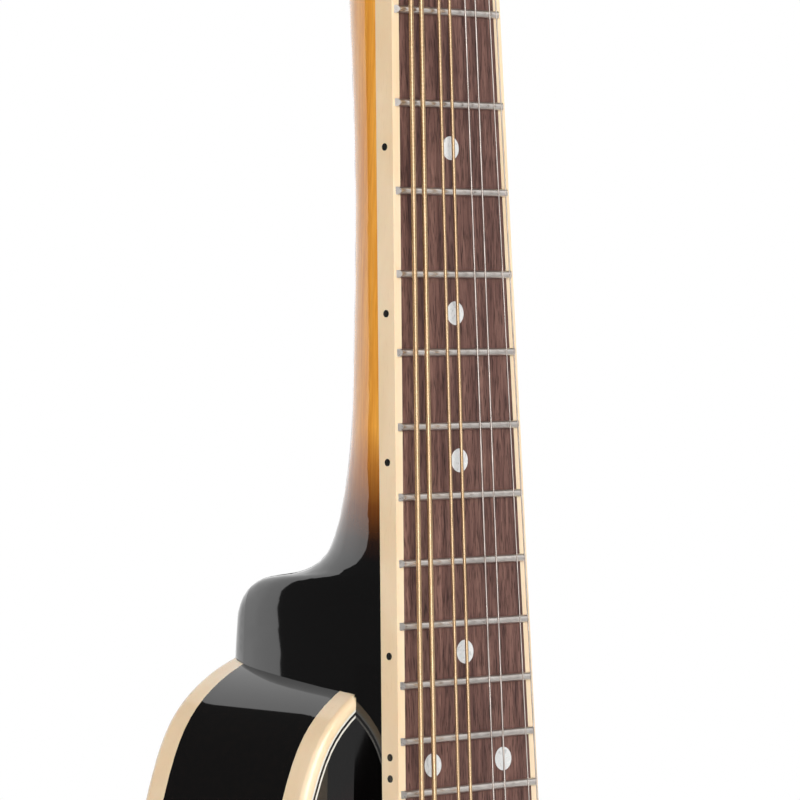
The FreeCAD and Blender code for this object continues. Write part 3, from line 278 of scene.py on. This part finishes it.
def rosewood():
    """Open-pored dark wood, streaked along the board."""
    s = Shader("rosewood", Specular_IOR_Level=0.35)
    streak = s.noise((0.75, 0.75, 0.012), detail=8, distortion=0.9, roughness=0.62)
    pores = s.noise((4.2, 4.2, 0.10), detail=4, roughness=0.6)
    wood = s.ramp(streak, (0.30, srgb(70, 44, 40)), (0.46, srgb(100, 68, 60)), (0.60, srgb(121, 87, 77)),
                  (0.76, srgb(143, 107, 94)))
    s.colour(s.mix("MULTIPLY", 0.85, wood, s.ramp(pores, (0.36, srgb(104, 86, 82)), (0.50, WHITE))))
    s.roughness(pores, 0.62, 0.46)
    s.bump(pores, 0.05, 0.45)
    return s.material


def ebony():
    s = Shader("ebony", Specular_IOR_Level=0.4)
    streak = s.noise((0.03, 0.7, 0.7), detail=6, distortion=0.5)
    s.colour(s.ramp(streak, (0.35, srgb(20, 17, 16)), (0.7, srgb(52, 42, 38))))
    s.roughness(streak, 0.34, 0.5)
    s.bump(streak, 0.03, 0.4)
    return s.material


def pearl():
    """Greyish shell with soft layered swirls."""
    s = Shader("pearl", Coat_Weight=0.6, Coat_Roughness=0.08, Sheen_Weight=0.15)
    swirl = s.noise((0.55, 0.55, 0.40), detail=3, distortion=2.6)
    s.colour(s.ramp(swirl, (0.32, srgb(186, 188, 188)), (0.48, srgb(226, 224, 222)), (0.60, srgb(203, 208, 207)),
                    (0.74, srgb(238, 233, 229))))
    s.roughness(swirl, 0.18, 0.34)
    s.bump(swirl, 0.01, 0.3)
    return s.material


def metal(name, dark, light, low, high, stretch, height=0.008):
    """Metal with cloudy tarnish and directional polishing marks."""
    s = Shader(name, Metallic=1.0)
    tarnish = s.noise((0.18, 0.18, 0.18), detail=5, distortion=0.4)
    s.colour(s.ramp(tarnish, (0.32, dark), (0.66, light)))
    polish = s.noise(stretch, detail=3)
    s.roughness(polish, low, high)
    s.bump(polish, height, 0.3)
    return s.material


def wound_string():
    """Bronze wire wound round the core: bands across the string, with painted shade in the grooves between
    turns.
    """
    s = Shader("bronze_wound", Metallic=1.0)
    turns = s.bands("Z", WINDING_PITCH, stretch=(0.05, 0.05, 1), detail=0)
    age = s.noise((0.2, 0.2, 0.08), detail=4)
    # Painted shade: the ramp darkens each band's trough, the groove between turns, and keeps the crests light.
    wire_and_groove_shade = s.ramp(turns, (0.0, srgb(138, 106, 72)), (0.45, srgb(214, 181, 138)), (1.0, srgb(238, 213, 176)))
    s.colour(s.mix("MULTIPLY", 0.3, wire_and_groove_shade, s.ramp(age, (0.35, srgb(196, 172, 146)), (0.65, WHITE))))
    s.roughness(age, 0.30, 0.42)
    s.bump(turns, 0.05, 0.6)
    return s.material


def tuner_key():
    """Nickel worm and shaft, with a pearly button past the collar."""
    s = Shader("tuner_key")
    button = s.math("GREATER_THAN", s.math("ABSOLUTE", s.axis("X")), BUTTON_START)
    swirl = s.noise((0.22, 0.22, 0.22), detail=3, distortion=2.2)
    shell = s.ramp(swirl, (0.32, srgb(216, 206, 184)), (0.52, srgb(240, 232, 214)), (0.72, srgb(226, 216, 196)))
    tarnish = s.noise((0.2, 0.2, 0.2), detail=5)
    nickel = s.ramp(tarnish, (0.32, srgb(186, 182, 176)), (0.66, srgb(214, 211, 205)))
    s.colour(s.mix("MIX", button, nickel, shell))
    s.link(s.math("SUBTRACT", 1.0, button), s.bsdf.inputs["Metallic"])
    s.roughness(tarnish, 0.16, 0.28)
    s.bump(swirl, 0.01, 0.3)
    return s.material


MATERIALS = {
    "neck_lacquer": neck_lacquer(),
    "rib_lacquer": rib_lacquer(),
    "top_lacquer": top_lacquer(),
    "back_lacquer": back_lacquer(),
    "inner_wood": inner_wood(),
    "cream_plastic": plastic("cream_plastic", srgb(238, 208, 168), srgb(246, 221, 187), 0.26, 0.36,
                             Coat_Weight=0.5, Coat_Roughness=0.06, Subsurface_Weight=0.12,
                             Subsurface_Scale=0.0015),
    "white_plastic": plastic("white_plastic", srgb(228, 222, 208), srgb(240, 236, 226), 0.28, 0.38,
                             Coat_Weight=0.5, Coat_Roughness=0.06),
    "black_plastic": plastic("black_plastic", srgb(12, 12, 12), srgb(24, 23, 22), 0.22, 0.34,
                             Coat_Weight=0.5, Coat_Roughness=0.05),
    "bone": plastic("bone", srgb(226, 214, 188), srgb(242, 234, 214), 0.34, 0.46,
                    Subsurface_Weight=0.15, Subsurface_Scale=0.0015),
    "rosewood": rosewood(),
    "ebony": ebony(),
    "pearl": pearl(),
    "nickel_silver": metal("nickel_silver", srgb(206, 199, 193), srgb(229, 222, 216),
                           0.26, 0.34, (0.1, 2.5, 2.5), 0.003),
    "nickel_plate": metal("nickel_plate", srgb(203, 200, 195), srgb(215, 212, 207),
                          0.12, 0.20, (1.2, 1.2, 0.2), 0.003),
    "plain_steel": metal("plain_steel", srgb(160, 150, 144), srgb(190, 181, 174), 0.24, 0.36, (2.0, 2.0, 0.05)),
    "gear_brass": metal("gear_brass", srgb(184, 142, 72), srgb(218, 180, 108), 0.22, 0.36, (1.4, 1.4, 1.4)),
    "steel_rod": metal("steel_rod", srgb(96, 96, 98), srgb(140, 140, 142), 0.36, 0.5, (2.0, 2.0, 0.1), 0.02),
    "bronze_wound": wound_string(),
}
KEY_MATERIAL = tuner_key()

for name, node in NODES.items():
    finish = KEY_MATERIAL if name.startswith("tuner_key") else MATERIALS[SLOT_OF[name]]
    for material_slot in node.material_slots:
        material_slot.material = finish

# ---------------------------------------------------------------- camera


def add_camera():
    """Long lens, close to the neck's joint with the body and placed in the neck frame."""
    back = Vector((math.sin(CAMERA_AZIMUTH), -math.cos(CAMERA_AZIMUTH), 0))
    up = Vector((0, 0, 1))
    right = up.cross(back)
    place = back * CAMERA_DISTANCE + up * CAMERA_HEIGHT + right * CAMERA_SIDE
    level = Matrix((right, up, back))
    turn = Matrix.Rotation(CAMERA_ROLL, 3, "Z") @ Matrix.Rotation(CAMERA_TILT, 3, "X") @ level
    data = bpy.data.cameras.new("camera")
    data.lens, data.sensor_width = CAMERA_LENS, SENSOR
    data.clip_start, data.clip_end = 0.01, 100
    camera = bpy.data.objects.new("camera", data)
    camera.matrix_world = NECK @ Matrix.Translation(place * MM) @ turn.transposed().to_4x4()
    bpy.context.scene.collection.objects.link(camera)
    bpy.context.scene.camera = camera


add_camera()

# ---------------------------------------------------------------- studio


def softbox(name, place, aim, width, height, power, roll=0.0):
    """Rectangular area light that faces a point, turned about its own axis by roll degrees."""
    data = bpy.data.lights.new(name, "AREA")
    data.shape, data.size, data.size_y = "RECTANGLE", width, height
    data.energy = power
    light = bpy.data.objects.new(name, data)
    light.location = place
    light.rotation_mode = "QUATERNION"
    facing = (Vector(aim) - Vector(place)).to_track_quat("-Z", "Y")
    light.rotation_quaternion = facing @ Quaternion((0, 0, 1), math.radians(roll))
    bpy.context.scene.collection.objects.link(light)


def add_world():
    """White where the camera sees it, and a dim grey room for light and reflections."""
    world = bpy.data.worlds.new("studio")
    bpy.context.scene.world = world
    world.use_nodes = True
    tree = world.node_tree
    tree.nodes.clear()
    room, white = (tree.nodes.new("ShaderNodeBackground") for _ in range(2))
    for background, strength in ((room, ROOM_STRENGTH), (white, 1.0)):
        background.inputs["Color"].default_value = WHITE
        background.inputs["Strength"].default_value = strength
    ray = tree.nodes.new("ShaderNodeLightPath")
    mix = tree.nodes.new("ShaderNodeMixShader")
    out = tree.nodes.new("ShaderNodeOutputWorld")
    tree.links.new(ray.outputs["Is Camera Ray"], mix.inputs[0])
    tree.links.new(room.outputs[0], mix.inputs[1])
    tree.links.new(white.outputs[0], mix.inputs[2])
    tree.links.new(mix.outputs[0], out.inputs["Surface"])


def add_floor():
    """Pale round floor just under the object's lowest point."""
    low = LOADED_BOUNDS[0]
    mesh = bpy.data.meshes.new("floor")
    shape = bmesh.new()
    bmesh.ops.create_circle(shape, cap_ends=True, segments=128, radius=FLOOR_RADIUS)
    bmesh.ops.translate(shape, verts=shape.verts, vec=(0, 0, low.z - FLOOR_DROP))
    shape.to_mesh(mesh)
    shape.free()
    floor = bpy.data.objects.new("floor", mesh)
    bpy.context.scene.collection.objects.link(floor)
    s = Shader("floor", Roughness=0.85)
    cloud = s.noise((0.01, 0.01, 0.01), detail=3)
    s.colour(s.ramp(cloud, (0.3, srgb(240, 240, 240)), (0.7, srgb(246, 246, 246))))
    mesh.materials.append(s.material)


add_world()
add_floor()
# The backdrop's slanted left edge is what ends the grey reflection on the neck and heel.
softbox("backdrop", (0.488, 2.2, 0.636), (0.488, 0, 0.636), 2.6, 4.0, 40, roll=20.9)
softbox("key", (-1.0, -1.7, 1.1), AIM, 1.3, 2.2, 50)
softbox("side", (-1.9, -0.55, 1.3), AIM, 0.9, 1.3, 6)
softbox("fill", (1.9, -1.0, 1.0), AIM, 1.6, 2.2, 11)
bpy.context.scene.view_settings.view_transform = "Standard"
